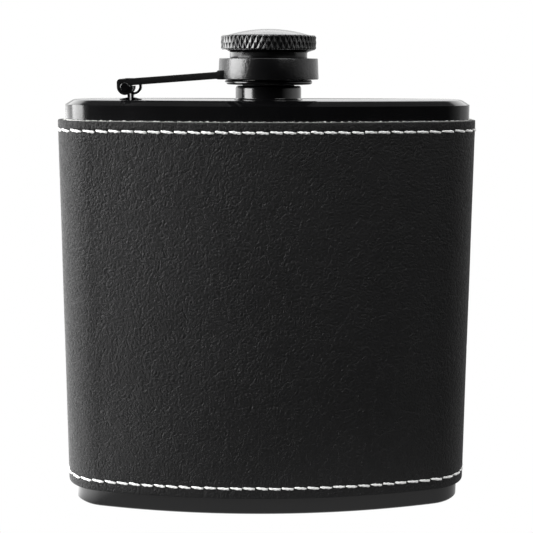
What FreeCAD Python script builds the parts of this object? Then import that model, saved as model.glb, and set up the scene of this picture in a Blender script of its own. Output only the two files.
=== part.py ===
import FreeCAD, Part
import math
import os

# Hip flask: a curved sheet-steel body with a leatherette wrap stitched at both ends,
# a turned neck, and a knurled screw cap held captive by a ring on a hinged arm.
# Millimetres. +Z is up, the bulging front faces -Y, the hinge is on the -X side,
# and the origin is under the middle of the overall size, on the face the flask stands on.

os.makedirs("parts", exist_ok=True)
Vec = FreeCAD.Vector
UP = Vec(0, 0, 1)

# ---- plan shape of the steel body (a kidney outline: bulging front, hollow back)
BODY_WIDTH = 92.0
BODY_DEPTH_MID = 20.0        # front face to back face, at the middle
FRONT_RADIUS = 145.0
END_RADIUS = 9.0

# ---- sheet and plates
SHEET = 0.6
PLATE = 0.8
TOP_Z = 94.6
TOP_BEVEL_RUN = 1.9
TOP_BEVEL_DROP = 1.15
TOP_EDGE_ROUND = 2.0
BOTTOM_BEVEL_RUN = 0.4
BOTTOM_BEVEL_RISE = 0.4
BOTTOM_EDGE_ROUND = 0.25
PLATE_SKIRT = 0.8            # how far each plate's step goes inside the sheet

# ---- wrap
WRAP_BOTTOM_Z = 4.4
LINING_TOP_Z = 90.3
LEATHER_TOP_Z = 90.0
LINING_OUT = 0.5             # outer face of the lining, out from the steel
LEATHER_OUT = 1.42           # outer face of the leather, out from the steel
SEAM_GAP = 0.3               # butt joint of the wrap, middle of the back
STITCH_LOW_Z = 6.88
STITCH_HIGH_Z = 87.9
CHANNEL_DEPTH = 0.35         # the thread lies in a shallow channel
CHANNEL_WIDTH = 1.2
STITCH_PITCH = 3.13
STITCH_LENGTH = 2.8
STITCH_SLANT = 0.25          # one end of each stitch is this much higher
THREAD_RADIUS = 0.24
UNDER_THREAD = 0.24
CLEAR = 0.02

# ---- neck
NECK_BASE_RADIUS = 7.35
NECK_BEAD_RADIUS = 7.75
NECK_BEAD_HEIGHT = 0.45
NECK_SHOULDER_Z = 97.72
NECK_SHOULDER_ROUND = 0.5
NECK_LIP_ROUND = 0.25
NECK_SPIGOT_RADIUS = 6.5
NECK_SPIGOT_DEPTH = 1.2      # below the top face of the plate
NECK_TOP_Z = 104.77
NECK_BORE_RADIUS = 4.6
NECK_TUBE_RADIUS = 5.75

# ---- screw thread, one ridge on the neck and one inside the cap
PITCH = 1.2
THREAD_TURNS = 1.08
THREAD_LOW_Z = 102.82        # middle of the neck ridge where it starts
RIDGE_HEIGHT = 0.7
RIDGE_ROOT_HALF = 0.34
RIDGE_CREST_HALF = 0.18
RIDGE_SINK = 0.25            # how far a ridge's root is buried in its wall

# ---- cap
CAP_SKIRT_RADIUS = 8.62
CAP_SKIRT_Z = 99.02
CAP_TAPER_Z = 105.02
KNURL_LOW_Z = 105.57
KNURL_HIGH_Z = 108.67
KNURL_RADIUS = 10.6
KNURL_CHAMFER = 0.3
DOME_RADIUS = 9.4            # radius of the dome's foot
DOME_TOP_Z = 110.12
INSERT_RADIUS = 7.55
INSERT_BORE_RADIUS = 6.85
INSERT_RELIEF_RADIUS = 7.15  # wider below the thread, so the cap swings clear of the neck
INSERT_RELIEF_Z = 102.22
INSERT_RELIEF_SLOPE = 0.3    # height over which the bore widens
INSERT_TOP_Z = 104.82
INSERT_LOW_Z = 97.97
INSERT_LIP_RADIUS = 8.35
INSERT_LIP = 0.25
SEAL = 1.0
SEAL_RADIUS = 7.5

# ---- retaining washer under the ring, free to turn on the insert
WASHER_LOW_Z = 98.02
WASHER_HIGH_Z = 98.97
WASHER_RADIUS = 9.77
WASHER_BORE_RADIUS = 7.65
WASHER_RECESS_RADIUS = 8.45
WASHER_RECESS_Z = 98.27
WASHER_EDGE_ROUND = 0.35

# ---- retainer ring and swing arm
RING_LOW_Z = 99.12
RING_HIGH_Z = 103.72
RING_BORE_RADIUS = 9.1
RING_TOP_RADIUS = 10.98
RING_LOW_RADIUS = 11.2
RING_EDGE_CHAMFER = 0.2
ARM_WIDTH_RING = 10.4
ARM_WIDTH_HINGE = 7.0
ARM_SLOPE = 0.0775           # rise of the bar per millimetre towards the ring
ARM_THICKNESS = 1.5
ARM_ROOT_THICKNESS = 1.95
ARM_ROOT_LENGTH = 0.3
ARM_SLOT_WIDTH = 3.2
ARM_SLOT_REACH = 4.1         # from the pin's axis

# ---- hinge
PIN_X = -31.7
PIN_Z = 97.42
PIN_RADIUS = 0.7
PIN_HOLE_RADIUS = 0.77
PIN_HEAD_RADIUS = 1.0
PIN_HEAD = 0.35
PIN_HEAD_ROUND = 0.21
KNUCKLE_RADIUS = 1.75
ARM_CORNER_ROUND = 0.8       # at the far upper corner of the bar, over the pin
CURL_SLIT = 0.22
LOOP_RIGHT_X = -30.05        # centre of the loop's right-hand round
LOOP_LEFT_X = -31.45         # centre of the loop's left-hand round
LOOP_Z = 97.52
LOOP_RADIUS = 1.8
LOOP_STRIP = 0.5
LOOP_WIDTH = 2.4             # width of the strip, along Y
LEG_GAP = 0.3                # between the two legs of the loop
FOOT_REACH = 2.4             # each foot's end from the middle of the legs
FOOT_TIP = 0.15              # thickness of each foot at its end


def tangent_back_radius(end_x, hollow_y):
    """Radius of the hollow back that just touches both end rounds."""
    return (end_x ** 2 + hollow_y ** 2 - END_RADIUS ** 2) / (2 * (END_RADIUS - hollow_y))


# ---- centres of the four arcs of the plan shape
END_X = BODY_WIDTH / 2 - END_RADIUS
FRONT_REACH = math.sqrt((FRONT_RADIUS - END_RADIUS) ** 2 - END_X ** 2)
FRONT_BULGE = FRONT_RADIUS - FRONT_REACH            # front face ahead of the end rounds
BACK_RADIUS = tangent_back_radius(END_X, BODY_DEPTH_MID - FRONT_BULGE)
END_Y = (FRONT_BULGE - END_RADIUS) / 2              # puts the overall depth astride Y = 0
FRONT_Y = END_Y + FRONT_REACH
BACK_Y = END_Y + BODY_DEPTH_MID - FRONT_BULGE + BACK_RADIUS
NECK_Y = END_Y - FRONT_BULGE + BODY_DEPTH_MID / 2

END_CENTRE = Vec(END_X, END_Y, 0)
FRONT_CENTRE = Vec(0, FRONT_Y, 0)
BACK_CENTRE = Vec(0, BACK_Y, 0)
FRONT_TO_END = (END_CENTRE - FRONT_CENTRE).normalize()
BACK_TO_END = (END_CENTRE - BACK_CENTRE).normalize()


def mirrored(point):
    return Vec(-point.x, point.y, point.z)


def arc(start, middle, end):
    return Part.Arc(start, middle, end).toShape()


def outline(out, z):
    """Closed kidney outline standing `out` away from the steel, at height z."""
    lift = Vec(0, 0, z)
    end_r = END_RADIUS + out
    front_join = END_CENTRE + FRONT_TO_END * end_r + lift
    back_join = END_CENTRE - BACK_TO_END * end_r + lift
    front_mid = FRONT_CENTRE - Vec(0, FRONT_RADIUS + out, 0) + lift
    back_mid = BACK_CENTRE - Vec(0, BACK_RADIUS - out, 0) + lift
    end_mid = END_CENTRE + Vec(end_r, 0, 0) + lift
    return Part.Wire([
        arc(mirrored(front_join), front_mid, front_join),
        arc(front_join, end_mid, back_join),
        arc(back_join, back_mid, mirrored(back_join)),
        arc(mirrored(back_join), mirrored(end_mid), mirrored(front_join)),
    ])


def block(out, low, high):
    """Solid with the kidney outline, from one height to another."""
    return Part.Face(outline(out, low)).extrude(Vec(0, 0, high - low))


def band(inner, outer, low, high):
    """Hollow kidney band between two outlines."""
    return block(outer, low, high).cut(block(inner, low - 1, high + 1))


def turned(points, x=0.0):
    """Solid turned about the upright axis at (x, NECK_Y) from (radius, height) corners."""
    corners = [Vec(x + r, NECK_Y, z) for r, z in points]
    face = Part.Face(Part.makePolygon(corners + corners[:1]))
    return face.revolve(Vec(x, NECK_Y, 0), UP, 360)


def drum(radius, low, high):
    return Part.makeCylinder(radius, high - low, Vec(0, NECK_Y, low))


def edges_at(shape, z):
    """Edges that lie wholly at one height."""
    return [e for e in shape.Edges if abs(e.BoundBox.ZMin - z) < 1e-4 and abs(e.BoundBox.ZMax - z) < 1e-4]


def save(name, shape):
    shape.exportStep("parts/" + name + ".step")


# ---- steel body ---------------------------------------------------------------

def body_shell():
    return band(-SHEET, 0, BOTTOM_BEVEL_RISE, TOP_Z - TOP_BEVEL_DROP)


def pressed_plate(face_z, edge_z, run, rounding):
    """End plate: flat face, bevelled rim with a softened corner, and a step inside the sheet."""
    inward = math.copysign(1, edge_z - face_z)
    rim = Part.makeLoft([outline(0, edge_z), outline(-run, face_z)], True, True)
    rim = rim.makeFillet(rounding, edges_at(rim, face_z))
    step_end = edge_z + inward * PLATE_SKIRT
    step = block(-SHEET - CLEAR, min(edge_z, step_end), max(edge_z, step_end))
    under = face_z + inward * PLATE
    pocket = block(-SHEET - PLATE, min(under, step_end), max(under, step_end))
    return rim.fuse(step).cut(pocket).removeSplitter()


def top_plate():
    plate = pressed_plate(TOP_Z, TOP_Z - TOP_BEVEL_DROP, TOP_BEVEL_RUN, TOP_EDGE_ROUND)
    return plate.cut(drum(NECK_SPIGOT_RADIUS, TOP_Z - 2 * PLATE, TOP_Z + PLATE))


def bottom_plate():
    return pressed_plate(0, BOTTOM_BEVEL_RISE, BOTTOM_BEVEL_RUN, BOTTOM_EDGE_ROUND)


# ---- thread -------------------------------------------------------------------

def ridge(wall_radius, direction, low_z, start_deg):
    """Helical ridge standing on a round wall; direction +1 outwards, -1 inwards."""
    root = wall_radius - direction * RIDGE_SINK
    crest = wall_radius + direction * RIDGE_HEIGHT
    slant = (RIDGE_ROOT_HALF - RIDGE_CREST_HALF) / RIDGE_HEIGHT
    root_half = RIDGE_ROOT_HALF + slant * RIDGE_SINK
    profile = Part.makePolygon([
        Vec(root, 0, -root_half),
        Vec(crest, 0, -RIDGE_CREST_HALF),
        Vec(crest, 0, RIDGE_CREST_HALF),
        Vec(root, 0, root_half),
        Vec(root, 0, -root_half),
    ])
    helix = Part.makeHelix(PITCH, PITCH * THREAD_TURNS, wall_radius)
    solid = Part.Wire(helix).makePipeShell([profile], True, True)
    solid.rotate(Vec(0, 0, 0), UP, start_deg)
    solid.translate(Vec(0, NECK_Y, low_z))
    return solid


# ---- neck ---------------------------------------------------------------------

def neck_spout():
    shape = turned([
        (NECK_BORE_RADIUS, TOP_Z - NECK_SPIGOT_DEPTH),
        (NECK_SPIGOT_RADIUS, TOP_Z - NECK_SPIGOT_DEPTH),
        (NECK_SPIGOT_RADIUS, TOP_Z),
        (NECK_BEAD_RADIUS, TOP_Z),
        (NECK_BASE_RADIUS, TOP_Z + NECK_BEAD_HEIGHT),
        (NECK_BASE_RADIUS, NECK_SHOULDER_Z),
        (NECK_TUBE_RADIUS, NECK_SHOULDER_Z),
        (NECK_TUBE_RADIUS, NECK_TOP_Z),
        (NECK_BORE_RADIUS, NECK_TOP_Z),
    ])
    shoulder = [e for e in edges_at(shape, NECK_SHOULDER_Z) if e.BoundBox.XMax > NECK_BASE_RADIUS - 0.1]
    shape = shape.makeFillet(NECK_SHOULDER_ROUND, shoulder)
    lip = edges_at(shape, NECK_TOP_Z)
    shape = shape.makeFillet(NECK_LIP_ROUND, lip)
    return shape.fuse(ridge(NECK_TUBE_RADIUS, 1, THREAD_LOW_Z, 0))


# ---- hinge --------------------------------------------------------------------

def at_pin(points):
    """Closed face in the X-Z plane through the neck axis, from (x, z) corners."""
    corners = [Vec(x, NECK_Y, z) for x, z in points]
    return Part.Face(Part.makePolygon(corners + corners[:1]))


def across(face, width, offset=0.0):
    """Extrude an X-Z face to a width centred on the neck axis, moved by an offset."""
    solid = face.extrude(Vec(0, width, 0))
    solid.translate(Vec(0, offset - width / 2, 0))
    return solid


def rod(radius, x, z, length, y_start):
    return Part.makeCylinder(radius, length, Vec(x, y_start, z), Vec(0, 1, 0))


def obround(radius, width):
    """Flat-sided round bar shaped like the loop's outline, along Y."""
    y = NECK_Y - width / 2
    middle = Part.makeBox(LOOP_RIGHT_X - LOOP_LEFT_X, width, 2 * radius, Vec(LOOP_LEFT_X, y, LOOP_Z - radius))
    left = rod(radius, LOOP_LEFT_X, LOOP_Z, width, y)
    right = rod(radius, LOOP_RIGHT_X, LOOP_Z, width, y)
    return middle.fuse([left, right]).removeSplitter()


def hinge_eyelet():
    """Strip bent into a loop, its two legs splayed and welded to the top plate."""
    leg_x = (LOOP_LEFT_X + LOOP_RIGHT_X) / 2
    half = LEG_GAP / 2
    foot_z = TOP_Z + LOOP_STRIP
    join_z = LOOP_Z - LOOP_RADIUS + LOOP_STRIP
    legs = at_pin([
        (leg_x - FOOT_REACH, TOP_Z),
        (leg_x - half, TOP_Z),
        (leg_x - half, join_z),
        (leg_x - half - LOOP_STRIP, join_z),
        (leg_x - half - LOOP_STRIP, foot_z),
        (leg_x - FOOT_REACH, TOP_Z + FOOT_TIP),
    ])
    left_leg = across(legs, LOOP_WIDTH)
    right_leg = left_leg.mirror(Vec(leg_x, 0, 0), Vec(1, 0, 0))
    split = Part.makeBox(LEG_GAP, LOOP_WIDTH + 2, LOOP_STRIP + 1,
                         Vec(leg_x - half, NECK_Y - LOOP_WIDTH / 2 - 1, LOOP_Z - LOOP_RADIUS - 1))
    loop = obround(LOOP_RADIUS, LOOP_WIDTH).cut(obround(LOOP_RADIUS - LOOP_STRIP, LOOP_WIDTH + 2))
    return loop.cut(split).fuse([left_leg, right_leg]).removeSplitter()


def pin_head(y_inner, side):
    """Flat round head at one end of the pin, its outer rim rounded; side -1 near, +1 far."""
    y_outer = y_inner + side * PIN_HEAD
    head = rod(PIN_HEAD_RADIUS, PIN_X, PIN_Z, PIN_HEAD, min(y_inner, y_outer))
    rim = [e for e in head.Edges if abs(e.BoundBox.YMin - y_outer) < 1e-4 and abs(e.BoundBox.YMax - y_outer) < 1e-4]
    return head.makeFillet(PIN_HEAD_ROUND, rim)


def hinge_pin():
    half = ARM_WIDTH_HINGE / 2 + CLEAR
    shank = rod(PIN_RADIUS, PIN_X, PIN_Z, 2 * half, NECK_Y - half)
    return shank.fuse([pin_head(NECK_Y - half, -1), pin_head(NECK_Y + half, 1)]).removeSplitter()


# ---- arm and ring -------------------------------------------------------------

def arm_top(x):
    """Height of the bar's upper face at x: level with the top of the knuckles at the pin."""
    return PIN_Z + KNUCKLE_RADIUS + (x - PIN_X) * ARM_SLOPE


def arm_plan():
    """Plan outline of the bar, wider at the ring, as a tall block."""
    half_hinge = ARM_WIDTH_HINGE / 2
    half_ring = ARM_WIDTH_RING / 2
    left = PIN_X - KNUCKLE_RADIUS
    neck_x = PIN_X + ARM_SLOT_REACH + 1.5
    corners = [
        (left, -half_hinge), (neck_x, -half_hinge), (-RING_LOW_RADIUS, -half_ring), (0, -half_ring),
        (0, half_ring), (-RING_LOW_RADIUS, half_ring), (neck_x, half_hinge), (left, half_hinge),
    ]
    points = [Vec(x, NECK_Y + y, TOP_Z) for x, y in corners]
    return Part.Face(Part.makePolygon(points + points[:1])).extrude(Vec(0, 0, RING_HIGH_Z - TOP_Z))


def swing_arm():
    """Flat bar from the ring to the hinge, its end split in two and bent round the pin."""
    inner_x = -RING_BORE_RADIUS
    root_x = -RING_LOW_RADIUS
    thin_x = root_x - ARM_ROOT_LENGTH
    side = at_pin([
        (PIN_X, arm_top(PIN_X)),
        (thin_x, arm_top(thin_x)),
        (root_x, RING_LOW_Z + ARM_ROOT_THICKNESS),
        (inner_x, RING_LOW_Z + ARM_ROOT_THICKNESS),
        (inner_x, RING_LOW_Z),
        (root_x, RING_LOW_Z),
        (thin_x, arm_top(thin_x) - ARM_THICKNESS),
        (PIN_X, arm_top(PIN_X) - ARM_THICKNESS),
    ])
    bar = across(side, ARM_WIDTH_RING).common(arm_plan())
    curl = rod(KNUCKLE_RADIUS, PIN_X, PIN_Z, ARM_WIDTH_HINGE, NECK_Y - ARM_WIDTH_HINGE / 2)
    corner = Part.makeBox(KNUCKLE_RADIUS, ARM_WIDTH_HINGE, KNUCKLE_RADIUS,
                          Vec(PIN_X - KNUCKLE_RADIUS, NECK_Y - ARM_WIDTH_HINGE / 2, PIN_Z))
    outer_edge = [e for e in edges_at(corner, PIN_Z + KNUCKLE_RADIUS) if e.BoundBox.XMax < PIN_X - PIN_RADIUS]
    corner = corner.makeFillet(ARM_CORNER_ROUND, outer_edge)
    arm = bar.fuse([curl, corner])
    pin_hole = rod(PIN_HOLE_RADIUS, PIN_X, PIN_Z, ARM_WIDTH_HINGE + 2, NECK_Y - ARM_WIDTH_HINGE / 2 - 1)
    slot = Part.makeBox(ARM_SLOT_REACH + 2 * KNUCKLE_RADIUS, ARM_SLOT_WIDTH, 4 * KNUCKLE_RADIUS,
                        Vec(PIN_X - 2 * KNUCKLE_RADIUS, NECK_Y - ARM_SLOT_WIDTH / 2, PIN_Z - 2 * KNUCKLE_RADIUS))
    slit = Part.makeBox(2 * KNUCKLE_RADIUS, ARM_WIDTH_HINGE + 2, CURL_SLIT,
                        Vec(PIN_X + PIN_RADIUS, NECK_Y - ARM_WIDTH_HINGE / 2 - 1,
                            PIN_Z + KNUCKLE_RADIUS - ARM_THICKNESS - CURL_SLIT))
    slit.rotate(Vec(PIN_X, NECK_Y, PIN_Z + KNUCKLE_RADIUS), Vec(0, 1, 0), -math.degrees(math.atan(ARM_SLOPE)))
    outside_ring = drum(RING_LOW_RADIUS - 0.5, TOP_Z, RING_HIGH_Z)
    return arm.cut([pin_hole, slot, slit]).cut(outside_ring).removeSplitter()


def retainer_ring():
    body = turned([
        (RING_BORE_RADIUS, RING_LOW_Z + RING_EDGE_CHAMFER),
        (RING_BORE_RADIUS + RING_EDGE_CHAMFER, RING_LOW_Z),
        (RING_LOW_RADIUS - RING_EDGE_CHAMFER, RING_LOW_Z),
        (RING_LOW_RADIUS, RING_LOW_Z + RING_EDGE_CHAMFER),
        (RING_TOP_RADIUS, RING_HIGH_Z - RING_EDGE_CHAMFER),
        (RING_TOP_RADIUS - RING_EDGE_CHAMFER, RING_HIGH_Z),
        (RING_BORE_RADIUS + RING_EDGE_CHAMFER, RING_HIGH_Z),
        (RING_BORE_RADIUS, RING_HIGH_Z - RING_EDGE_CHAMFER),
    ])
    return body.cut(swing_arm())


# ---- cap ----------------------------------------------------------------------

def cap_head():
    """Domed head with the band that is knurled, a short taper, and the hollow skirt."""
    chamfer = KNURL_CHAMFER
    seal_roof = INSERT_TOP_Z + SEAL
    dome_height = DOME_TOP_Z - KNURL_HIGH_Z
    body = turned([
        (0, seal_roof),
        (INSERT_RADIUS, seal_roof),
        (INSERT_RADIUS, CAP_SKIRT_Z),
        (CAP_SKIRT_RADIUS, CAP_SKIRT_Z),
        (CAP_SKIRT_RADIUS, CAP_TAPER_Z),
        (KNURL_RADIUS - chamfer, KNURL_LOW_Z),
        (KNURL_RADIUS, KNURL_LOW_Z + chamfer),
        (KNURL_RADIUS, KNURL_HIGH_Z - chamfer),
        (KNURL_RADIUS - chamfer, KNURL_HIGH_Z),
        (0, KNURL_HIGH_Z),
    ])
    ball_radius = (DOME_RADIUS ** 2 + dome_height ** 2) / (2 * dome_height)
    ball = Part.makeSphere(ball_radius, Vec(0, NECK_Y, DOME_TOP_Z - ball_radius))
    dome = ball.common(drum(KNURL_RADIUS, KNURL_HIGH_Z - 0.05, DOME_TOP_Z + 1))
    return body.fuse(dome).removeSplitter()


def cap_thread_insert():
    tube = turned([
        (INSERT_RELIEF_RADIUS, INSERT_LOW_Z),
        (INSERT_LIP_RADIUS, INSERT_LOW_Z),
        (INSERT_LIP_RADIUS, INSERT_LOW_Z + INSERT_LIP),
        (INSERT_RADIUS, INSERT_LOW_Z + INSERT_LIP),
        (INSERT_RADIUS, INSERT_TOP_Z),
        (INSERT_BORE_RADIUS, INSERT_TOP_Z),
        (INSERT_BORE_RADIUS, INSERT_RELIEF_Z),
        (INSERT_RELIEF_RADIUS, INSERT_RELIEF_Z - INSERT_RELIEF_SLOPE),
    ])
    return tube.fuse(ridge(INSERT_BORE_RADIUS, -1, THREAD_LOW_Z, 180))


def seal_disc():
    return drum(SEAL_RADIUS, INSERT_TOP_Z, INSERT_TOP_Z + SEAL)


def retaining_washer():
    body = turned([
        (WASHER_RECESS_RADIUS, WASHER_LOW_Z),
        (WASHER_RADIUS, WASHER_LOW_Z),
        (WASHER_RADIUS, WASHER_HIGH_Z),
        (WASHER_BORE_RADIUS, WASHER_HIGH_Z),
        (WASHER_BORE_RADIUS, WASHER_RECESS_Z),
        (WASHER_RECESS_RADIUS, WASHER_RECESS_Z),
    ])
    rim = [e for z in (WASHER_LOW_Z, WASHER_HIGH_Z) for e in edges_at(body, z)
           if e.BoundBox.XMax > WASHER_RADIUS - 0.1]
    return body.makeFillet(WASHER_EDGE_ROUND, rim)


# ---- wrap ---------------------------------------------------------------------

def seam_cut(low, high):
    return Part.makeBox(SEAM_GAP, BODY_DEPTH_MID, high - low + 2, Vec(-SEAM_GAP / 2, NECK_Y, low - 1))


def under_thread(z, slack=0.0):
    """Flat thread of the stitch line that runs behind the lining, against the steel."""
    half = UNDER_THREAD / 2 + slack
    return band(CLEAR, CLEAR + UNDER_THREAD + slack, z - half, z + half).cut(seam_cut(z - half, z + half))


def wrap_lining():
    lining = band(CLEAR, LINING_OUT, WRAP_BOTTOM_Z, LINING_TOP_Z).cut(seam_cut(WRAP_BOTTOM_Z, LINING_TOP_Z))
    for z in (STITCH_LOW_Z, STITCH_HIGH_Z):
        lining = lining.cut(under_thread(z, CLEAR))
    return lining


def leather_wrap():
    wrap = band(LINING_OUT, LEATHER_OUT, WRAP_BOTTOM_Z, LEATHER_TOP_Z)
    for z in (STITCH_LOW_Z, STITCH_HIGH_Z):
        channel = band(LEATHER_OUT - CHANNEL_DEPTH, LEATHER_OUT + 1, z - CHANNEL_WIDTH / 2, z + CHANNEL_WIDTH / 2)
        wrap = wrap.cut(channel)
    return wrap.cut(seam_cut(WRAP_BOTTOM_Z, LEATHER_TOP_Z))


def stitch(start, end):
    """One stitch: a short round thread with rounded tips, from point to point."""
    length = (end - start).Length
    r = THREAD_RADIUS
    slant = r * math.sqrt(0.5)
    profile = Part.Face(Part.Wire([
        arc(Vec(0, 0, 0), Vec(r - slant, 0, slant), Vec(r, 0, r)),
        Part.makeLine(Vec(r, 0, r), Vec(length - r, 0, r)),
        arc(Vec(length - r, 0, r), Vec(length - r + slant, 0, slant), Vec(length, 0, 0)),
        Part.makeLine(Vec(length, 0, 0), Vec(0, 0, 0)),
    ]))
    solid = profile.revolve(Vec(0, 0, 0), Vec(1, 0, 0), 360)
    solid.Placement = FreeCAD.Placement(start, FreeCAD.Rotation(Vec(1, 0, 0), end - start))
    return solid


def stitching(z):
    """Stitches all round, both ends of each resting on the channel's floor."""
    path = outline(LEATHER_OUT - CHANNEL_DEPTH + THREAD_RADIUS + CLEAR, z)
    count = round(path.Length / STITCH_PITCH)
    step = path.Length / count
    marks = path.discretize(Number=8 * count + 1)
    reach = STITCH_LENGTH / step * 8 / 2
    stitches = []
    for i in range(count):
        middle = 8 * i + 4
        first = marks[round(middle - reach)]
        last = marks[round(middle + reach)]
        bulge = marks[middle] - (first + last) * 0.5
        lift = Vec(0, 0, STITCH_SLANT / 2)
        stitches.append(stitch(first + bulge + lift, last + bulge - lift))
    return Part.makeCompound(stitches)


BUILDERS = {
    "body_shell": body_shell,
    "top_plate": top_plate,
    "bottom_plate": bottom_plate,
    "neck_spout": neck_spout,
    "hinge_eyelet": hinge_eyelet,
    "leather_wrap": leather_wrap,
    "wrap_lining": wrap_lining,
    "hinge_pin": hinge_pin,
    "swing_arm": swing_arm,
    "retainer_ring": retainer_ring,
    "retaining_washer": retaining_washer,
    "cap_head": cap_head,
    "cap_thread_insert": cap_thread_insert,
    "seal_disc": seal_disc,
}

for node, build in BUILDERS.items():
    save(node, build())
for edge, height in (("bottom", STITCH_LOW_Z), ("top", STITCH_HIGH_Z)):
    save(edge + "_stitching", stitching(height))
    save(edge + "_under_thread", under_thread(height))
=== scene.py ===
import bmesh
import bpy
import math
import random
from mathutils import Matrix, Vector, noise


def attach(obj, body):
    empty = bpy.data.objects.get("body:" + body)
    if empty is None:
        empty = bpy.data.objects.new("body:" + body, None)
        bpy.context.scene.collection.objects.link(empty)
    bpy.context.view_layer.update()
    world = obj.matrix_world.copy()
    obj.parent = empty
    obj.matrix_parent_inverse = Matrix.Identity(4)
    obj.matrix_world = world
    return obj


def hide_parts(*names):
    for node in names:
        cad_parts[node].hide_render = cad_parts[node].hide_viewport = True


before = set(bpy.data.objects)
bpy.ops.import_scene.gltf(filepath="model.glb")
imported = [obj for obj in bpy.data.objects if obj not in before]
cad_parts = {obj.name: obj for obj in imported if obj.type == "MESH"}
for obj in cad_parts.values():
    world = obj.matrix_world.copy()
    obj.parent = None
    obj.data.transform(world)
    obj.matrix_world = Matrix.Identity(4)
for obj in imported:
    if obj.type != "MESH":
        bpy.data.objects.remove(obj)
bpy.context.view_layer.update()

# Hip flask, in metres, in the frame of the CAD model: +Z up, the bulging front faces -Y,
# the hinge is on the -X side. Lengths named below are in millimetres unless they say otherwise.
MM = 0.001
TAU = 2 * math.pi
random.seed(7)

# ---- plan shape of the steel body
BODY_WIDTH = 92.0
BODY_DEPTH_MID = 20.0
FRONT_RADIUS = 145.0
END_RADIUS = 9.0

# ---- heights and thicknesses
TOP_Z = 94.6
TOP_EDGE_Z = 93.45
TOP_BEVEL_RUN = 1.9
BOTTOM_EDGE_Z = 0.4
BOTTOM_BEVEL_RUN = 0.4
SHEET = 0.6
PLATE = 0.8
WRAP_LOW_Z = 4.4
LEATHER_TOP_Z = 90.0
LINING_TOP_Z = 90.3
LINING_OUT = 0.5
LEATHER_OUT = 1.42
SEAM_GAP = 0.3
SWELL = 0.34                 # the wrap stands off this much more at the -X end
SWELL_FROM_X = 37.0
SWELL_RUN = 9.0
PUCKER = 0.34                # how deep the leather is drawn in at a needle hole
LOFT_COLUMNS = 720
STITCH_ROWS_Z = {"bottom": 6.88, "top": 87.9}
STITCH_COUNT = 68
STITCH_HALF = 1.5
STITCH_SLANT = 0.3
THREAD_RADIUS = 0.25

# ---- turned parts
NECK_LOW_Z = 93.4
NECK_SHOULDER_Z = 97.72
NECK_TOP_Z = 104.77
NECK_BORE_RADIUS = 4.6
NECK_TUBE_RADIUS = 5.75
NECK_BASE_RADIUS = 7.35
NECK_BEAD_RADIUS = 7.72
NECK_SPIGOT_RADIUS = 6.5
WASHER_LOW_Z = 98.02
WASHER_HIGH_Z = 98.97
WASHER_RADIUS = 9.77
WASHER_BORE_RADIUS = 7.65
WASHER_RECESS_RADIUS = 8.45
RING_LOW_Z = 99.12
RING_HIGH_Z = 103.72
RING_BORE_RADIUS = 9.1
RING_LOW_RADIUS = 11.2
RING_TOP_RADIUS = 10.98
INSERT_LOW_Z = 97.97
INSERT_RELIEF_Z = 102.22
INSERT_RADIUS = 7.55
INSERT_BORE_RADIUS = 6.85
INSERT_RELIEF_RADIUS = 7.15
INSERT_LIP_RADIUS = 8.35
INSERT_LIP = 0.25
SEAL_LOW_Z = 104.82
SEAL_HIGH_Z = 105.82
SEAL_RADIUS = 7.5
CAP_SKIRT_RADIUS = 8.62
CAP_SKIRT_Z = 99.02
CAP_TAPER_Z = 105.02
KNURL_LOW_Z = 105.57
KNURL_HIGH_Z = 108.67
KNURL_RADIUS = 10.6
KNURL_DEPTH = 0.22
KNURL_COUNT = 53
KNURL_TALL = 2.5             # height of one whole diamond
KNURL_FLAT = 0.92            # share of the way up a diamond where its crest is cut flat
KNURL_CHAMFER = 0.32
AXIS_RADIUS = 0.02           # a turned outline stops this close to its axis
DOME_RADIUS = 9.4
DOME_TOP_Z = 110.12
PITCH = 1.2
THREAD_TURNS = 1.08
THREAD_LOW_Z = 102.82
RIDGE_HEIGHT = 0.7
RIDGE_SINK = 0.15            # how far a ridge's root is buried in its wall
RIDGE_ROOT_HALF = 0.36
RIDGE_CREST_HALF = 0.18


# ==== outline ==================================================================

class Outline:
    """Kidney outline of the steel body, walked from the middle of the back all the way round."""

    def __init__(self):
        end_x = BODY_WIDTH / 2 - END_RADIUS
        reach = math.sqrt((FRONT_RADIUS - END_RADIUS) ** 2 - end_x ** 2)
        bulge = FRONT_RADIUS - reach
        hollow = BODY_DEPTH_MID - bulge
        back_radius = (end_x ** 2 + hollow ** 2 - END_RADIUS ** 2) / (2 * (END_RADIUS - hollow))
        end_y = (bulge - END_RADIUS) / 2
        self.end_x = end_x
        self.end_y = end_y
        self.neck_y = end_y - bulge + BODY_DEPTH_MID / 2
        front_y = end_y + reach
        back_y = end_y + hollow + back_radius
        front_turn = math.atan2(end_x, front_y - end_y)
        back_turn = math.atan2(end_x, back_y - end_y)
        down = -math.pi / 2
        # each arc: centre, radius, first and last angle of the outward normal, +1 bulging or -1 hollow
        self.arcs = [
            ((0, back_y), back_radius, math.pi / 2, math.pi / 2 + back_turn, -1),
            ((-end_x, end_y), END_RADIUS, math.pi / 2 + back_turn, 3 * math.pi / 2 - front_turn, 1),
            ((0, front_y), FRONT_RADIUS, down - front_turn, down + front_turn, 1),
            ((end_x, end_y), END_RADIUS, down + front_turn, math.pi / 2 - back_turn, 1),
            ((0, back_y), back_radius, math.pi / 2 - back_turn, math.pi / 2, -1),
        ]
        self.lengths = [r * abs(b - a) for _, r, a, b, _ in self.arcs]
        self.total = sum(self.lengths)

    def at(self, s):
        """Point and outward normal at a distance s along the outline."""
        s = s % self.total
        for (centre, radius, first, last, sign), length in zip(self.arcs, self.lengths):
            if s <= length:
                angle = first + (last - first) * s / length
                normal = (math.cos(angle), math.sin(angle))
                return (
                    (centre[0] + sign * radius * normal[0], centre[1] + sign * radius * normal[1]),
                    normal,
                )
            s -= length
        return self.at(0)


OUTLINE = Outline()
NECK_Y = OUTLINE.neck_y


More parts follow.
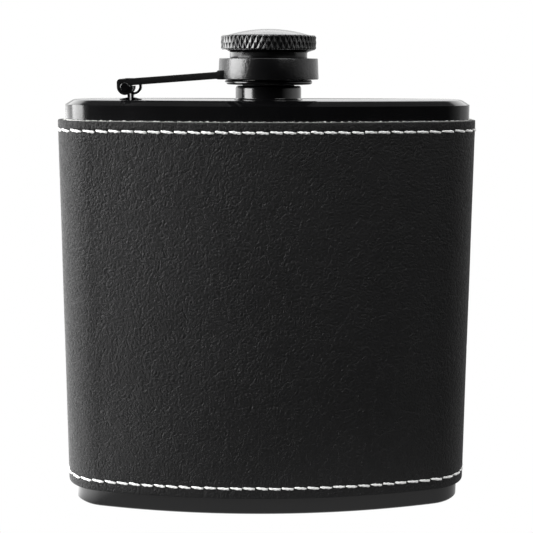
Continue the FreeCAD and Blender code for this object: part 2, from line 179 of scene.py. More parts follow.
# ==== mesh helpers =============================================================

def add_piece(name, mesh, material, body, *nodes, slot=None):
    """Puts a finished mesh in the scene, riding on a CAD body and standing for its CAD nodes."""
    obj = bpy.data.objects.new(name, mesh)
    bpy.context.scene.collection.objects.link(obj)
    mesh.materials.clear()
    mesh.materials.append(material)
    for polygon in mesh.polygons:
        polygon.use_smooth = True
    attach(obj, body)
    if nodes:
        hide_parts(*nodes)
    return obj


def mesh_from(name, points, faces):
    mesh = bpy.data.meshes.new(name)
    mesh.from_pydata([Vector(p) * MM for p in points], [], faces)
    mesh.update()
    return mesh


def grid_faces(columns, rows, wrap_columns, wrap_rows):
    """Quads of a grid whose points are stored column by column."""
    faces = []
    for i in range(columns if wrap_columns else columns - 1):
        for j in range(rows if wrap_rows else rows - 1):
            i2 = (i + 1) % columns
            j2 = (j + 1) % rows
            faces.append((i * rows + j, i2 * rows + j, i2 * rows + j2, i * rows + j2))
    return faces


def tidy_mesh(mesh, sharp_deg=35):
    """Consistent outward faces; corners sharper than the angle stay crisp."""
    work = bmesh.new()
    work.from_mesh(mesh)
    bmesh.ops.remove_doubles(work, verts=work.verts, dist=1e-7)
    bmesh.ops.recalc_face_normals(work, faces=work.faces)
    for edge in work.edges:
        if len(edge.link_faces) == 2:
            edge.smooth = edge.calc_face_angle(0) < math.radians(sharp_deg)
    work.to_mesh(mesh)
    work.free()
    return mesh


def rounded(corners, radius, steps=3):
    """Corner list of a closed outline with every corner rounded by up to `radius`."""
    out = []
    n = len(corners)
    for i in range(n):
        before = Vector(corners[i - 1])
        here = Vector(corners[i])
        after = Vector(corners[(i + 1) % n])
        reach = min(radius, (before - here).length / 2.2, (after - here).length / 2.2)
        start = here + (before - here).normalized() * reach
        end = here + (after - here).normalized() * reach
        for k in range(steps + 1):
            t = k / steps
            out.append(tuple(start * (1 - t) ** 2 + here * 2 * t * (1 - t) + end * t ** 2))
    return out


def lathe(name, corners, segments=192, rounding=0.0):
    """Solid of revolution about the neck's axis, from a closed (radius, height) outline."""
    profile = rounded(corners, rounding) if rounding else corners
    points = []
    for i in range(segments):
        angle = TAU * i / segments
        for r, z in profile:
            points.append((r * math.cos(angle), NECK_Y + r * math.sin(angle), z))
    mesh = mesh_from(name, points, grid_faces(segments, len(profile), True, True))
    return tidy_mesh(mesh, 50)


def swept_points(profile):
    """Points of a closed (out, height) outline carried all the way round the body, column by column."""
    points = []
    for i in range(LOFT_COLUMNS):
        (x, y), (nx, ny) = OUTLINE.at(OUTLINE.total * i / LOFT_COLUMNS)
        for out, z in profile:
            points.append((x + nx * out, y + ny * out, z))
    return points


def loft(name, profile):
    """Closed band round the body from a closed (out, height) outline."""
    faces = grid_faces(LOFT_COLUMNS, len(profile), True, True)
    return tidy_mesh(mesh_from(name, swept_points(profile), faces), 50)


# ==== materials ================================================================

def material(name):
    mat = bpy.data.materials.new(name)
    mat.use_nodes = True
    nodes = mat.node_tree.nodes
    links = mat.node_tree.links
    shader = nodes["Principled BSDF"]
    return mat, nodes, links, shader


def coordinates(nodes, links, scale=(1, 1, 1)):
    """Object coordinates in millimetres, stretched by scale."""
    source = nodes.new("ShaderNodeTexCoord")
    mapping = nodes.new("ShaderNodeMapping")
    mapping.inputs["Scale"].default_value = [s / MM for s in scale]
    links.new(source.outputs["Object"], mapping.inputs["Vector"])
    return mapping.outputs["Vector"]


def noise_texture(nodes, links, vector, scale, detail=3.0, rough=0.5):
    node = nodes.new("ShaderNodeTexNoise")
    node.inputs["Scale"].default_value = scale
    node.inputs["Detail"].default_value = detail
    node.inputs["Roughness"].default_value = rough
    links.new(vector, node.inputs["Vector"])
    return node.outputs["Fac"]


def remap(nodes, links, value, low, high, to_low, to_high):
    node = nodes.new("ShaderNodeMapRange")
    node.inputs["From Min"].default_value = low
    node.inputs["From Max"].default_value = high
    node.inputs["To Min"].default_value = to_low
    node.inputs["To Max"].default_value = to_high
    links.new(value, node.inputs["Value"])
    return node.outputs["Result"]


def maths(nodes, links, operation, a, b):
    node = nodes.new("ShaderNodeMath")
    node.operation = operation
    for socket, value in zip(node.inputs, (a, b)):
        if isinstance(value, (int, float)):
            socket.default_value = value
        else:
            links.new(value, socket)
    return node.outputs["Value"]


def ramp_colour(nodes, links, value, dark, light):
    node = nodes.new("ShaderNodeMix")
    node.data_type = "RGBA"
    node.inputs["A"].default_value = (*dark, 1)
    node.inputs["B"].default_value = (*light, 1)
    links.new(value, node.inputs["Factor"])
    return node.outputs["Result"]


def bump(nodes, links, height, strength, distance_mm, under=None):
    node = nodes.new("ShaderNodeBump")
    node.inputs["Strength"].default_value = strength
    node.inputs["Distance"].default_value = distance_mm * MM
    links.new(height, node.inputs["Height"])
    if under is not None:
        links.new(under, node.inputs["Normal"])
    return node.outputs["Normal"]


def black_coat(name, rough, brushed, grain, grain_scale):
    """Satin black coating on steel: faint brush lines across the height, and a fine uneven grain."""
    mat, nodes, links, shader = material(name)
    lines = noise_texture(nodes, links, coordinates(nodes, links, (0.25, 0.25, 9.0)), 1.0, 4.0, 0.6)
    peel = noise_texture(nodes, links, coordinates(nodes, links), grain_scale, 4.0, 0.65)
    cloud = noise_texture(nodes, links, coordinates(nodes, links), 0.12, 2.0, 0.5)
    colour = ramp_colour(nodes, links, cloud, (0.002, 0.002, 0.0022), (0.004, 0.004, 0.0044))
    links.new(colour, shader.inputs["Base Color"])
    uneven = maths(nodes, links, "ADD", remap(nodes, links, cloud, 0.3, 0.7, -0.02, 0.03),
                   remap(nodes, links, lines, 0.3, 0.7, -0.03, 0.03))
    links.new(maths(nodes, links, "ADD", uneven, rough), shader.inputs["Roughness"])
    normal = bump(nodes, links, lines, brushed, 0.02)
    links.new(bump(nodes, links, peel, grain, 0.12, normal), shader.inputs["Normal"])
    shader.inputs["Specular IOR Level"].default_value = 0.5
    return mat


def leatherette():
    """Black pebble-grained leatherette with short creases, fine nap and a low sheen."""
    mat, nodes, links, shader = material("black_leatherette")
    where = coordinates(nodes, links)
    warp = nodes.new("ShaderNodeTexNoise")
    warp.inputs["Scale"].default_value = 0.6
    warp.inputs["Detail"].default_value = 3.0
    links.new(where, warp.inputs["Vector"])
    shift = nodes.new("ShaderNodeVectorMath")
    shift.operation = "MULTIPLY_ADD"
    shift.inputs[1].default_value = (0.5, 0.5, 0.5)
    links.new(warp.outputs["Color"], shift.inputs[0])
    links.new(where, shift.inputs[2])
    cells = nodes.new("ShaderNodeTexVoronoi")
    cells.feature = "DISTANCE_TO_EDGE"
    cells.inputs["Scale"].default_value = 1.3
    links.new(shift.outputs["Vector"], cells.inputs["Vector"])
    pebble = remap(nodes, links, cells.outputs["Distance"], 0.0, 0.3, 0.0, 1.0)
    grain = noise_texture(nodes, links, where, 1.5, 3.0, 0.6)
    fine = noise_texture(nodes, links, where, 3.4, 3.0, 0.7)
    crease = noise_texture(nodes, links, coordinates(nodes, links, (0.16, 0.16, 0.12)), 1.0, 4.0, 0.62)
    away = maths(nodes, links, "ABSOLUTE", maths(nodes, links, "SUBTRACT", crease, 0.5), 0)
    lines = remap(nodes, links, away, 0.0, 0.022, 0.0, 1.0)
    cloud = noise_texture(nodes, links, where, 0.05, 3.0, 0.5)
    colour = ramp_colour(nodes, links, maths(nodes, links, "MULTIPLY", fine, cloud),
                         (0.0025, 0.0025, 0.0027), (0.017, 0.017, 0.0176))
    links.new(colour, shader.inputs["Base Color"])
    links.new(remap(nodes, links, grain, 0.3, 0.7, 0.48, 0.68), shader.inputs["Roughness"])
    normal = bump(nodes, links, pebble, 0.8, 0.07)
    normal = bump(nodes, links, lines, 0.8, 0.10, normal)
    normal = bump(nodes, links, grain, 1.0, 0.22, normal)
    links.new(bump(nodes, links, fine, 1.0, 0.12, normal), shader.inputs["Normal"])
    shader.inputs["Specular IOR Level"].default_value = 0.24
    return mat


def cloth_white(name, light, dark):
    """Matt white fibre, for the backing and the thread."""
    mat, nodes, links, shader = material(name)
    fibre = noise_texture(nodes, links, coordinates(nodes, links), 9.0, 3.0, 0.6)
    links.new(ramp_colour(nodes, links, fibre, dark, light), shader.inputs["Base Color"])
    links.new(bump(nodes, links, fibre, 0.5, 0.04), shader.inputs["Normal"])
    shader.inputs["Roughness"].default_value = 0.85
    shader.inputs["Sheen Weight"].default_value = 0.2
    return mat


def bare_steel():
    """Turned steel, uncoated, with fine marks of the tool round it."""
    mat, nodes, links, shader = material("turned_steel")
    lines = noise_texture(nodes, links, coordinates(nodes, links, (0.2, 0.2, 12.0)), 1.0, 3.0, 0.5)
    colour = ramp_colour(nodes, links, lines, (0.42, 0.42, 0.43), (0.62, 0.62, 0.63))
    links.new(colour, shader.inputs["Base Color"])
    links.new(remap(nodes, links, lines, 0.3, 0.7, 0.22, 0.36), shader.inputs["Roughness"])
    links.new(bump(nodes, links, lines, 0.2, 0.01), shader.inputs["Normal"])
    shader.inputs["Metallic"].default_value = 1.0
    return mat


def silicone():
    """Cream rubber of the seal."""
    mat, nodes, links, shader = material("seal_silicone")
    cloud = noise_texture(nodes, links, coordinates(nodes, links), 1.5, 2.0, 0.5)
    colour = ramp_colour(nodes, links, cloud, (0.68, 0.67, 0.62), (0.78, 0.77, 0.73))
    links.new(colour, shader.inputs["Base Color"])
    links.new(bump(nodes, links, cloud, 0.1, 0.02), shader.inputs["Normal"])
    shader.inputs["Roughness"].default_value = 0.55
    return mat


COAT = black_coat("black_coat_body", 0.20, 0.06, 0.03, 2.0)
COAT_TURNED = black_coat("black_coat_turned", 0.16, 0.08, 0.08, 2.0)
COAT_PLATE = black_coat("black_coat_plate", 0.12, 0.05, 0.02, 1.0)
COAT_CAP = black_coat("black_coat_cap", 0.21, 0.04, 0.10, 2.0)
COAT_RING = black_coat("black_coat_ring", 0.24, 0.06, 0.50, 1.3)
COAT_ARM = black_coat("black_coat_arm", 0.34, 0.05, 0.40, 1.8)
LEATHER = leatherette()
LINING = cloth_white("backing_cloth", (0.80, 0.80, 0.78), (0.22, 0.22, 0.21))
THREAD = cloth_white("white_thread", (0.90, 0.90, 0.89), (0.72, 0.72, 0.71))
STEEL = bare_steel()
SEAL = silicone()


# ==== steel body ===============================================================

def build_body_shell():
    profile = [(0, BOTTOM_EDGE_Z), (0, TOP_EDGE_Z), (-SHEET, TOP_EDGE_Z), (-SHEET, BOTTOM_EDGE_Z)]
    add_piece("steel_body", loft("steel_body", profile), COAT, "flask", "body_shell")


def plate(name, node, rim, step_z, under_z):
    """End plate: rim corners from the sheet's edge to the flat face, flat face, and the step inside."""
    step_out = -SHEET - 0.02
    pan_out = -SHEET - PLATE
    outer = rim + [(pan_out, rim[-1][1])]
    inner = [(pan_out, under_z), (pan_out, step_z), (step_out, step_z), (step_out, rim[0][1])]
    rows = outer + inner
    count = len(rows)
    face_row = len(rim) - 1
    under_row = len(outer)
    # the bands between the face's edge and the pocket give way to the two flat faces
    left_out = (face_row, face_row + 1)
    faces = [f for f in grid_faces(LOFT_COLUMNS, count, True, True) if f[0] % count not in left_out]
    for row in (face_row, under_row):
        faces.append([i * count + row for i in range(LOFT_COLUMNS)])
    mesh = mesh_from(name, swept_points(rows), faces)
    work = bmesh.new()
    work.from_mesh(mesh)
    bmesh.ops.delete(work, geom=[v for v in work.verts if not v.link_faces], context="VERTS")
    work.to_mesh(mesh)
    work.free()
    add_piece(name, tidy_mesh(mesh, 50), COAT_PLATE, "flask", node)


def bevelled_rim(face_z, edge_z, run, foot, rounding, steps=4):
    """Corners of a rim: the foot of its slope in ever longer steps, then the bend to the flat face."""
    low = Vector((0, edge_z))
    high = Vector((-run, face_z))
    slope = (high - low).normalized()
    start = high - slope * rounding
    end = high + Vector((-1, 0)) * rounding
    shares = [k / steps for k in range(steps + 1)]
    rim = [tuple(low + slope * foot * t ** 2) for t in shares]
    rim += [tuple(start * (1 - t) ** 2 + high * 2 * t * (1 - t) + end * t ** 2) for t in shares]
    return rim


# ==== wrap =====================================================================

def stitch_phase(s):
    """How far along the current stitch a place is: -1 and +1 are the needle holes, 0 the middle."""
    pitch = OUTLINE.total / STITCH_COUNT
    return 2 * ((s / pitch) % 1) - 1


def swell(x):
    """How much further the wrap stands off where it rounds the end on the -X side."""
    share = min(max((-x - SWELL_FROM_X) / SWELL_RUN, 0.0), 1.0)
    return SWELL * share * share


def leather_push(s, z):
    """How far the leather's outer face stands off its nominal place, in mm."""
    (x, y), _ = OUTLINE.at(s)
    push = 0.04 * (noise.noise(Vector((x * 0.05, y * 0.05, z * 0.05))))
    fold = noise.noise(Vector((x * 0.12 + 3, y * 0.12, z * 0.11)))
    push -= 0.03 * max(0.0, 1 - abs(fold) / 0.05)
    to_hole = (1 - abs(stitch_phase(s))) * OUTLINE.total / STITCH_COUNT / 2
    for row_z in STITCH_ROWS_Z.values():
        away = z - row_z
        if abs(away) < 2:
            push -= 0.07 * math.exp(-(away / 0.4) ** 2)
            push -= PUCKER * math.exp(-(away / 0.26) ** 2 - (to_hole / 0.24) ** 2)
            push += 0.02 * math.exp(-((abs(away) - 0.8) / 0.4) ** 2)
    return min(push, 0.06) + swell(x)


def wrap_stations(columns):
    """Places along the outline from one side of the back seam to the other."""
    half_gap = SEAM_GAP / 2
    run = OUTLINE.total - 2 * half_gap
    return [half_gap + run * i / (columns - 1) for i in range(columns)]


def close_ends(mesh):
    """Fills the two open ends of a wrap that doesn't quite meet itself."""
    work = bmesh.new()
    work.from_mesh(mesh)
    bmesh.ops.holes_fill(work, edges=[e for e in work.edges if e.is_boundary], sides=0)
    work.to_mesh(mesh)
    work.free()


def build_leather():
    heights = []
    z = WRAP_LOW_Z + 0.3
    while z < LEATHER_TOP_Z - 0.3:
        heights.append(z)
        near = min(abs(z - row) for row in STITCH_ROWS_Z.values())
        z += 0.14 if near < 1.0 else 0.9
    heights.append(LEATHER_TOP_Z - 0.3)
    columns = STITCH_COUNT * 12 + 1
    points = []
    for s in wrap_stations(columns):
        (x, y), (nx, ny) = OUTLINE.at(s)
        rough = 0.03 * noise.noise(Vector((s * 1.7, 5, 0)))
        top_z = LEATHER_TOP_Z + rough
        face = LEATHER_OUT + swell(x)
        low = [(LINING_OUT, WRAP_LOW_Z), (face - 0.12, WRAP_LOW_Z), (face - 0.03, WRAP_LOW_Z + 0.07)]
        high = [(face - 0.03, top_z - 0.07), (face - 0.12, top_z), (LINING_OUT, top_z)]
        rows = low + [(LEATHER_OUT + leather_push(s, h), h) for h in heights] + high
        for out, h in rows:
            points.append((x + nx * out, y + ny * out, h))
    mesh = mesh_from("leather", points, grid_faces(columns, len(rows), False, True))
    close_ends(mesh)
    add_piece("leather", tidy_mesh(mesh, 60), LEATHER, "flask", "leather_wrap", slot="leatherette")


def build_lining():
    columns = 1400
    points = []
    for s in wrap_stations(columns):
        (x, y), (nx, ny) = OUTLINE.at(s)
        wave = 0.24 * noise.noise(Vector((s * 1.3, 0, 0)))
        frayed = LINING_TOP_Z - 0.14 + wave + 0.06 * random.uniform(-1, 1)
        edge_out = LINING_OUT + 0.06 * random.uniform(-1, 1)
        rows = [(0.02, WRAP_LOW_Z), (LINING_OUT, WRAP_LOW_Z), (LINING_OUT, LEATHER_TOP_Z),
                (edge_out + 0.1, (LEATHER_TOP_Z + LINING_TOP_Z) / 2), (edge_out, frayed), (0.02, frayed)]
        for out, h in rows:
            points.append((x + nx * out, y + ny * out, h))
    mesh = mesh_from("backing", points, grid_faces(columns, len(rows), False, True))
    close_ends(mesh)
    add_piece("backing", tidy_mesh(mesh, 50), LINING, "flask", "wrap_lining", slot="lining_cloth")


def stitch_mesh_data(s_mid, z_mid, rings=22, sides=12):
    """Points and faces of one stitch: two twisted plies, thin at both ends, diving into the needle holes."""
    tilt = STITCH_SLANT / 2 * random.uniform(0.5, 1.5)
    sag = random.uniform(-0.03, 0.03)
    drop = random.uniform(-0.05, 0.05)
    turn = random.uniform(0, TAU)
    lean = random.uniform(-0.25, 0.1)
    points = []
    for i in range(rings):
        u = 2 * i / (rings - 1) - 1
        along = STITCH_HALF * (u * 1.04 - 0.04 * u ** 3)
        (x, y), (nx, ny) = OUTLINE.at(s_mid + along)
        dive = abs(u) ** 9
        out = LEATHER_OUT + swell(x) - 0.03 + 0.04 * (1 - u * u) - 0.45 * dive
        height = z_mid + drop - tilt * u + sag * (1 - u * u)
        taper = 1.08 - 0.55 * abs(u + lean) ** 3
        tangent = Vector((-ny, nx))
        for k in range(sides):
            angle = TAU * k / sides
            uneven = 0.16 * noise.noise(Vector((u * 2.2, turn * 9, 1)))
            ply = 1 + 0.13 * math.cos(2 * angle - turn - u * 9.0) + uneven
            r = THREAD_RADIUS * taper * ply
            radial = r * math.cos(angle) * 0.82
            upward = r * math.sin(angle) * 1.04
            skew = dive * radial * 0.8 * (1 if u > 0 else -1)
            points.append((
                x + nx * (out + radial) - tangent.x * skew,
                y + ny * (out + radial) - tangent.y * skew,
                height + upward,
            ))
    faces = []
    for i in range(rings - 1):
        for k in range(sides):
            k2 = (k + 1) % sides
            faces.append((i * sides + k, i * sides + k2, (i + 1) * sides + k2, (i + 1) * sides + k))
    faces.append(list(reversed(range(sides))))
    faces.append([(rings - 1) * sides + k for k in range(sides)])
    return points, faces


def build_stitching(edge, row_z):
    pitch = OUTLINE.total / STITCH_COUNT
    points = []
    faces = []
    for i in range(STITCH_COUNT):
        new_points, new_faces = stitch_mesh_data(pitch * (i + 0.5), row_z)
        base = len(points)
        points += new_points
        faces += [[base + k for k in f] for f in new_faces]
    name = edge + "_stitches"
    add_piece(name, tidy_mesh(mesh_from(name, points, faces), 70), THREAD, "flask",
              edge + "_stitching", slot="white_thread")


# ==== neck, ring, cap ==========================================================

def ridge_mesh(name, wall, direction, start_turn, steps=96):
    """Helical thread ridge standing on a round wall, with run-out at both ends."""
    root = wall - direction * RIDGE_SINK
    points = []
    for i in range(steps + 1):
        t = i / steps
        angle = TAU * (THREAD_TURNS * t + start_turn)
        fade = min(1.0, 12 * t, 12 * (1 - t))
        crest = wall + direction * RIDGE_HEIGHT * fade
        z = THREAD_LOW_Z + PITCH * THREAD_TURNS * t
        corners = (
            (root, -RIDGE_ROOT_HALF), (crest, -RIDGE_CREST_HALF),
            (crest, RIDGE_CREST_HALF), (root, RIDGE_ROOT_HALF),
        )
        for r, dz in corners:
            points.append((r * math.cos(angle), NECK_Y + r * math.sin(angle), z + dz))
    faces = grid_faces(steps + 1, 4, False, True)
    faces.append([0, 1, 2, 3])
    faces.append([steps * 4 + k for k in range(4)][::-1])
    return tidy_mesh(mesh_from(name, points, faces), 40)


def joined(name, *meshes):
    """One mesh from several."""
    work = bmesh.new()
    for mesh in meshes:
        work.from_mesh(mesh)
    out = bpy.data.meshes.new(name)
    work.to_mesh(out)
    work.free()
    return out


def build_neck():
    bore = NECK_BORE_RADIUS
    tube = NECK_TUBE_RADIUS
    base = NECK_BASE_RADIUS
    spigot = NECK_SPIGOT_RADIUS
    bead = NECK_BEAD_RADIUS
    foot = TOP_Z - 0.02
    shoulder = NECK_SHOULDER_Z
    lip = 0.25
    corners = [
        (bore, NECK_LOW_Z), (spigot, NECK_LOW_Z), (spigot, foot), (bead, foot), (bead, TOP_Z + 0.12),
        (base, TOP_Z + 0.42), (base, shoulder - 0.5), (base - 0.15, shoulder - 0.16), (base - 0.5, shoulder),
        (tube + 0.1, shoulder), (tube, shoulder + 0.1), (tube, NECK_TOP_Z - lip), (tube - lip, NECK_TOP_Z),
        (bore + lip, NECK_TOP_Z), (bore, NECK_TOP_Z - lip),
    ]
    body = lathe("neck_body", corners, rounding=0.12)
    ridge = ridge_mesh("neck_ridge", tube, 1, 0.0)
    add_piece("neck", joined("neck", body, ridge), COAT_TURNED, "flask", "neck_spout")


def build_insert():
    bore = INSERT_BORE_RADIUS
    relief = INSERT_RELIEF_RADIUS
    lip_top = INSERT_LOW_Z + INSERT_LIP
    corners = [
        (relief, INSERT_LOW_Z), (INSERT_LIP_RADIUS, INSERT_LOW_Z), (INSERT_LIP_RADIUS, lip_top),
        (INSERT_RADIUS, lip_top), (INSERT_RADIUS, SEAL_LOW_Z), (bore, SEAL_LOW_Z), (bore, INSERT_RELIEF_Z),
        (relief, INSERT_RELIEF_Z - 0.3),
    ]
    body = lathe("insert_body", corners, rounding=0.06)
    ridge = ridge_mesh("insert_ridge", bore, -1, 0.5)
    add_piece("thread_insert", joined("thread_insert", body, ridge), STEEL, "cap", "cap_thread_insert")


def build_ring():
    corners = [
        (RING_BORE_RADIUS, RING_LOW_Z), (RING_LOW_RADIUS, RING_LOW_Z),
        (RING_TOP_RADIUS, RING_HIGH_Z), (RING_BORE_RADIUS, RING_HIGH_Z),
    ]
    mesh = lathe("cap_ring", corners, segments=256, rounding=0.22)
    add_piece("cap_ring", mesh, COAT_RING, "arm", "retainer_ring")


def build_washer():
    low = WASHER_LOW_Z
    high = WASHER_HIGH_Z
    rim = WASHER_RADIUS
    recess_z = low + 0.25
    corners = [
        (WASHER_RECESS_RADIUS, low), (rim - 0.27, low), (rim, low + 0.3), (rim, high - 0.27),
        (rim - 0.27, high), (WASHER_BORE_RADIUS, high), (WASHER_BORE_RADIUS, recess_z),
        (WASHER_RECESS_RADIUS, recess_z),
    ]
    mesh = lathe("lip_washer", corners, segments=256, rounding=0.14)
    add_piece("lip_washer", mesh, COAT_TURNED, "washer", "retaining_washer")


def build_seal():
    corners = [
        (AXIS_RADIUS, SEAL_LOW_Z), (SEAL_RADIUS, SEAL_LOW_Z),
        (SEAL_RADIUS, SEAL_HIGH_Z), (AXIS_RADIUS, SEAL_HIGH_Z),
    ]
    add_piece("seal", lathe("seal", corners, rounding=0.12), SEAL, "cap", "seal_disc")


def knurl_radius(turn, z):
    """Radius of the knurled band at a share of a turn and a height: rows of small diamonds."""
    a = KNURL_COUNT * turn + z / KNURL_TALL
    b = KNURL_COUNT * turn - z / KNURL_TALL
    near_a = abs(a - round(a)) * 2
    near_b = abs(b - round(b)) * 2
    rise = min(near_a, near_b, KNURL_FLAT) / KNURL_FLAT
    return KNURL_RADIUS - KNURL_DEPTH * (1 - rise)


def band_point(turn, local):
    """Point of the knurled band at a share of a turn and a height from its middle."""
    middle = (KNURL_LOW_Z + KNURL_HIGH_Z) / 2
    z = min(max(middle + local, KNURL_LOW_Z), KNURL_HIGH_Z)
    edge = min(z - KNURL_LOW_Z, KNURL_HIGH_Z - z)
    r = min(knurl_radius(turn, local), KNURL_RADIUS - max(0.0, KNURL_CHAMFER - edge))
    return (r * math.cos(TAU * turn), NECK_Y + r * math.sin(TAU * turn), z)


def knurled_band(columns, rows, step):
    """Points and faces of the band: a grid along the lines of the knurl, with a centre in each cell."""
    def height(j):
        return (j - (rows - 1) / 2) * step

    points = [band_point(i / columns, height(j)) for i in range(columns) for j in range(rows)]
    points += [
        band_point((i + 0.5) / columns, height(j + 0.5)) for i in range(columns) for j in range(rows - 1)
    ]
    centres = columns * rows
    faces = []
    for i in range(columns):
        i2 = (i + 1) % columns
        for j in range(rows - 1):
            quad = (i * rows + j, i2 * rows + j, i2 * rows + j + 1, i * rows + j + 1)
            centre = centres + i * (rows - 1) + j
            for k in range(4):
                faces.append((quad[k], quad[(k + 1) % 4], centre))
    return points, faces


def dome_rows(steps=12):
    """(radius, height) rows of the dome from its foot to its top."""
    rows = []
    for k in range(steps + 1):
        r = DOME_RADIUS * (1 - k / steps)
        rise = (DOME_TOP_Z - KNURL_HIGH_Z) * (1 - (r / DOME_RADIUS) ** 2)
        rows.append((max(r, AXIS_RADIUS), KNURL_HIGH_Z + rise))
    return rows


def build_cap():
    """Knurled band, with the dome above it and the taper, skirt and hollow below it."""
    per_diamond = 8
    columns = KNURL_COUNT * per_diamond
    rows = 13
    points, faces = knurled_band(columns, rows, KNURL_TALL / per_diamond)
    skirt = CAP_SKIRT_RADIUS
    above = [(DOME_RADIUS + 0.35, KNURL_HIGH_Z)] + dome_rows()
    below = [
        (skirt + 0.25, CAP_TAPER_Z + 0.1), (skirt + 0.05, CAP_TAPER_Z - 0.02), (skirt, CAP_TAPER_Z - 0.2),
        (skirt, CAP_SKIRT_Z + 0.15), (skirt - 0.15, CAP_SKIRT_Z),
        (INSERT_RADIUS, CAP_SKIRT_Z), (INSERT_RADIUS, SEAL_HIGH_Z), (AXIS_RADIUS, SEAL_HIGH_Z),
    ]
    for ring_rows, joined_row in ((above, rows - 1), (below, 0)):
        base = len(points)
        count = len(ring_rows)
        for i in range(columns):
            angle = TAU * i / columns
            for r, z in ring_rows:
                points.append((r * math.cos(angle), NECK_Y + r * math.sin(angle), z))
        for i in range(columns):
            i2 = (i + 1) % columns
            first = base + i * count
            second = base + i2 * count
            faces.append((i * rows + joined_row, i2 * rows + joined_row, second, first))
            for j in range(count - 1):
                faces.append((first + j, second + j, second + j + 1, first + j + 1))
        faces.append([base + i * count + count - 1 for i in range(columns)])
    mesh = tidy_mesh(mesh_from("screw_cap", points, faces), 24)
    add_piece("screw_cap", mesh, COAT_CAP, "cap", "cap_head")


# ==== hinge and arm (CAD pieces with softened edges) =============================

def soften(node, width_mm, coat):
    """Rounds the edges of a CAD piece a little and gives it its finish."""
    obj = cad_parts[node]
    obj.data.materials.clear()
    obj.data.materials.append(coat)
    weld = obj.modifiers.new("weld", "WELD")
    weld.merge_threshold = 0.002 * MM
    bevel = obj.modifiers.new("bevel", "BEVEL")
    bevel.width = width_mm * MM
    bevel.segments = 3
    bevel.limit_method = "ANGLE"
    bevel.angle_limit = math.radians(40)
    bevel.harden_normals = True
    for polygon in obj.data.polygons:
        polygon.use_smooth = True


# ==== studio ===================================================================

def build_floor():
    """Pale floor: white to the camera, and dark to the flask itself where it lies well in front."""
    half = 1.6
    corners = [(-half, -half, 0), (half, -half, 0), (half, half, 0), (-half, half, 0)]
    mesh = bpy.data.meshes.new("studio_floor")
    mesh.from_pydata(corners, [], [(0, 1, 2, 3)])
    floor = bpy.data.objects.new("studio_floor", mesh)
    bpy.context.scene.collection.objects.link(floor)
    mat = bpy.data.materials.new("floor_white")
    mat.use_nodes = True
    nodes = mat.node_tree.nodes
    links = mat.node_tree.links
    nodes.clear()
    out = nodes.new("ShaderNodeOutputMaterial")
    glow = nodes.new("ShaderNodeEmission")
    split = nodes.new("ShaderNodeSeparateXYZ")
    links.new(coordinates(nodes, links), split.inputs["Vector"])
    # these places are in millimetres: dark in front of the flask, brightest in front of its left end
    near = remap(nodes, links, split.outputs["Y"], -34.0, -22.0, 0.01, 0.6)
    beside = remap(nodes, links, split.outputs["X"], -50.0, -40.0, 6.0, 0.0)
    around = maths(nodes, links, "MAXIMUM", near, maths(nodes, links, "MULTIPLY", near, beside))
    path = nodes.new("ShaderNodeLightPath")
    camera_ray = path.outputs["Is Camera Ray"]
    indirect = maths(nodes, links, "MULTIPLY", around, maths(nodes, links, "SUBTRACT", 1, camera_ray))
    strength = maths(nodes, links, "ADD", indirect, camera_ray)
    links.new(strength, glow.inputs["Strength"])
    links.new(glow.outputs[0], out.inputs["Surface"])
    mesh.materials.append(mat)


def area_light(name, place, aim, width, height, power):
    data = bpy.data.lights.new(name, "AREA")
    data.shape = "RECTANGLE"
    data.size = width
    data.size_y = height
    data.energy = power
    lamp = bpy.data.objects.new(name, data)
    lamp.location = place
    lamp.rotation_euler = (Vector(aim) - Vector(place)).to_track_quat("-Z", "Y").to_euler()
    bpy.context.scene.collection.objects.link(lamp)


def build_world():
    """White surroundings to the camera and behind; dark in front, where the camera stands."""
    world = bpy.data.worlds.new("studio")
    bpy.context.scene.world = world
    world.use_nodes = True
    nodes = world.node_tree.nodes
    links = world.node_tree.links
    nodes.clear()
    out = nodes.new("ShaderNodeOutputWorld")
    white = nodes.new("ShaderNodeBackground")
    white.inputs["Strength"].default_value = 1.0
    white.inputs["Color"].default_value = (1, 1, 1, 1)
    room = nodes.new("ShaderNodeBackground")
    source = nodes.new("ShaderNodeTexCoord")
    split = nodes.new("ShaderNodeSeparateXYZ")
    links.new(source.outputs["Generated"], split.inputs["Vector"])
    back = remap(nodes, links, split.outputs["Y"], -0.7, 0.1, 0.006, 1.0)
    high = remap(nodes, links, split.outputs["Z"], 0.55, 0.75, 1.0, 0.12)
    links.new(maths(nodes, links, "MULTIPLY", back, high), room.inputs["Color"])
    path = nodes.new("ShaderNodeLightPath")
    mix = nodes.new("ShaderNodeMixShader")
    links.new(path.outputs["Is Camera Ray"], mix.inputs["Fac"])
    links.new(room.outputs[0], mix.inputs[1])
    links.new(white.outputs[0], mix.inputs[2])
    links.new(mix.outputs[0], out.inputs["Surface"])


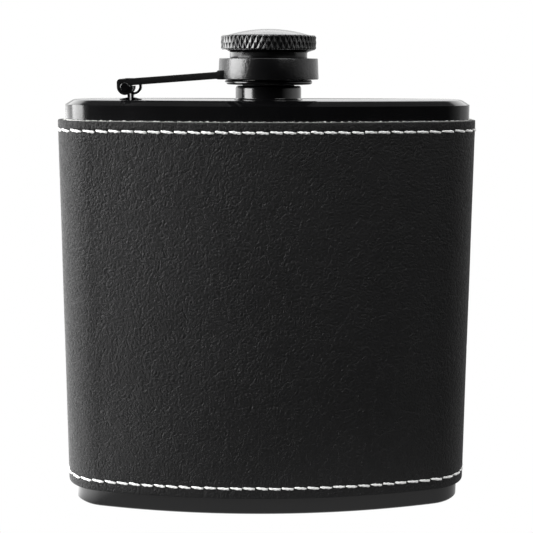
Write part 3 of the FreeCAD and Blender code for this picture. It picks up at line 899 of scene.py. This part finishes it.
def build_camera():
    """Slightly above the cap's ring, looking down at the middle of the front."""
    focal_share = 2.0343        # focal length over the sensor's width
    heading = 0.02014           # these three are in radians
    pitch = 0.18584
    roll = 0.0027
    sensor_mm = 36
    place = (-0.00528, -0.24738, 0.10277)
    level = math.cos(pitch)
    forward = Vector((math.sin(heading) * level, math.cos(heading) * level, -math.sin(pitch)))
    right = Vector((math.cos(heading), -math.sin(heading), 0))
    above = right.cross(forward)
    tilted_right = right * math.cos(roll) + above * math.sin(roll)
    tilted_up = above * math.cos(roll) - right * math.sin(roll)
    data = bpy.data.cameras.new("camera")
    data.sensor_width = sensor_mm
    data.lens = sensor_mm * focal_share
    data.clip_start = 0.01
    camera = bpy.data.objects.new("camera", data)
    axes = Matrix((tilted_right, tilted_up, -forward)).transposed()
    camera.matrix_world = Matrix.Translation(place) @ axes.to_4x4()
    bpy.context.scene.collection.objects.link(camera)
    bpy.context.scene.camera = camera


# ==== assembly =================================================================

build_body_shell()
plate("top_cover", "top_plate", bevelled_rim(TOP_Z, TOP_EDGE_Z, TOP_BEVEL_RUN, 0.5, 0.5),
      TOP_EDGE_Z - PLATE, TOP_Z - PLATE)
plate("bottom_cover", "bottom_plate", bevelled_rim(0, BOTTOM_EDGE_Z, BOTTOM_BEVEL_RUN, 0.15, 0.15),
      BOTTOM_EDGE_Z + PLATE, PLATE)
build_leather()
build_lining()
for edge_name, edge_z in STITCH_ROWS_Z.items():
    build_stitching(edge_name, edge_z)
build_neck()
build_insert()
build_ring()
build_washer()
build_seal()
build_cap()
soften("swing_arm", 0.16, COAT_ARM)
soften("hinge_eyelet", 0.08, COAT_TURNED)
soften("hinge_pin", 0.05, COAT_TURNED)
for hidden in ("top_under_thread", "bottom_under_thread"):
    soften(hidden, 0.02, THREAD)

build_floor()
build_world()
build_camera()
area_light("key_left", (-0.742, -0.110, 0.34), (0, 0, 0.06), 0.62, 0.68, 18.5)
area_light("back_left", (-0.57, 0.48, 0.35), (0, 0, 0.06), 0.7, 0.7, 1.2)
area_light("back_high", (0, 0.6, 0.5), (0, 0, 0.08), 1.2, 0.4, 1.9)
area_light("fill_right", (0.40, -0.40, 0.55), (0, 0, 0.05), 0.4, 0.4, 2.4)
area_light("top_front", (0, -0.10, 0.8), (0, 0, 0.1), 0.7, 0.5, 2.4)
bpy.context.scene.view_settings.view_transform = "Standard"
